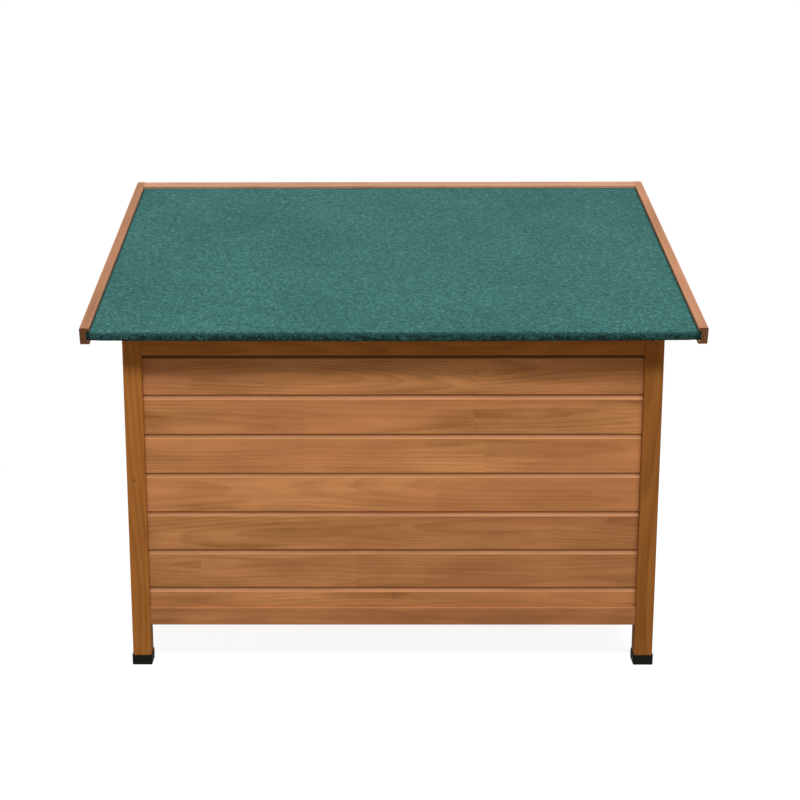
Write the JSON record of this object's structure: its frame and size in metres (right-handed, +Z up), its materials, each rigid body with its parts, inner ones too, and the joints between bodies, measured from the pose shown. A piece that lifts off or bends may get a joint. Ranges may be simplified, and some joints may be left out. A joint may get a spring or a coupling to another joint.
{
  "type": "dog kennel",
  "caption": "Wooden dog kennel on short capped legs, with tongue-and-groove walls, an open doorway and a hinged single-pitch felt roof held open by a slotted stay.",
  "frame": {"origin": "on the ground, under the middle of the outer box", "axes": "+Z up, +X along the width, +Y towards the doorway; the low rear wall faces -Y"},
  "size_m": [1.16, 0.8, 0.8582],
  "materials": {
    "frame_wood": "brown stained softwood, satin",
    "board_wood": "honey-brown stained softwood boards with visible grain",
    "inner_wood": "plain sawn softwood",
    "trim_wood": "light brown stained softwood, satin",
    "roofing_felt": "bitumen felt with blue-green mineral grit",
    "foot_plastic": "black moulded plastic",
    "steel": "zinc-plated steel"
  },
  "bodies": {
    "cabin": {"rear_left_post": "frame_wood", "rear_right_post": "frame_wood", "front_left_post": "frame_wood", "front_right_post": "frame_wood", "rear_left_foot": "foot_plastic", "rear_right_foot": "foot_plastic", "front_left_foot": "foot_plastic", "front_right_foot": "foot_plastic", "rear_top_rail": "frame_wood", "rear_bottom_rail": "frame_wood", "front_top_rail": "frame_wood", "front_bottom_rail": "frame_wood", "left_rear_stile": "frame_wood", "left_front_stile": "frame_wood", "left_top_rail": "frame_wood", "left_bottom_rail": "frame_wood", "right_rear_stile": "frame_wood", "right_front_stile": "frame_wood", "right_top_rail": "frame_wood", "right_bottom_rail": "frame_wood", "door_left_jamb": "frame_wood", "door_right_jamb": "frame_wood", "door_lintel": "frame_wood", "door_sill": "frame_wood", "rear_board_1": "board_wood", "rear_board_2": "board_wood", "rear_board_3": "board_wood", "rear_board_4": "board_wood", "rear_board_5": "board_wood", "rear_board_6": "board_wood", "rear_board_7": "board_wood", "left_boards": "board_wood", "right_boards": "board_wood", "front_left_boards": "board_wood", "front_right_boards": "board_wood", "front_upper_boards": "board_wood", "floor_rear_ledger": "inner_wood", "floor_front_ledger": "inner_wood", "floor_boards": "inner_wood", "left_hinge_wall_leaf": "steel", "right_hinge_wall_leaf": "steel", "left_hinge_pin": "steel", "right_hinge_pin": "steel", "stay_guide": "steel", "post_screws": "steel", "wall_fitting_screws": "steel"},
    "roof": {"roof_boards": "inner_wood", "roof_left_batten": "inner_wood", "roof_right_batten": "inner_wood", "roof_felt": "roofing_felt", "roof_left_trim": "trim_wood", "roof_right_trim": "trim_wood", "roof_front_trim": "trim_wood", "left_hinge_roof_leaf": "steel", "right_hinge_roof_leaf": "steel", "stay_bracket": "steel", "roof_fitting_screws": "steel"},
    "stay": {"stay_arm": "steel"}
  },
  "joints": [
    {"name": "roof_hinge", "type": "hinge", "parent": "cabin", "child": "roof", "pos_m": [0, -0.3495, 0.67248], "axis": [1, 0, 0], "range_deg": [0, 75]},
    {"name": "stay_pivot", "type": "hinge", "parent": "roof", "child": "stay", "pos_m": [-0.4757, -0.12258, 0.70998], "axis": [1, 0, 0], "range_deg": [-37.5, 0]}
  ],
  "couplings": [
    {"joint": "stay_pivot", "follows": "roof_hinge", "ratio": -0.5}
  ]
}
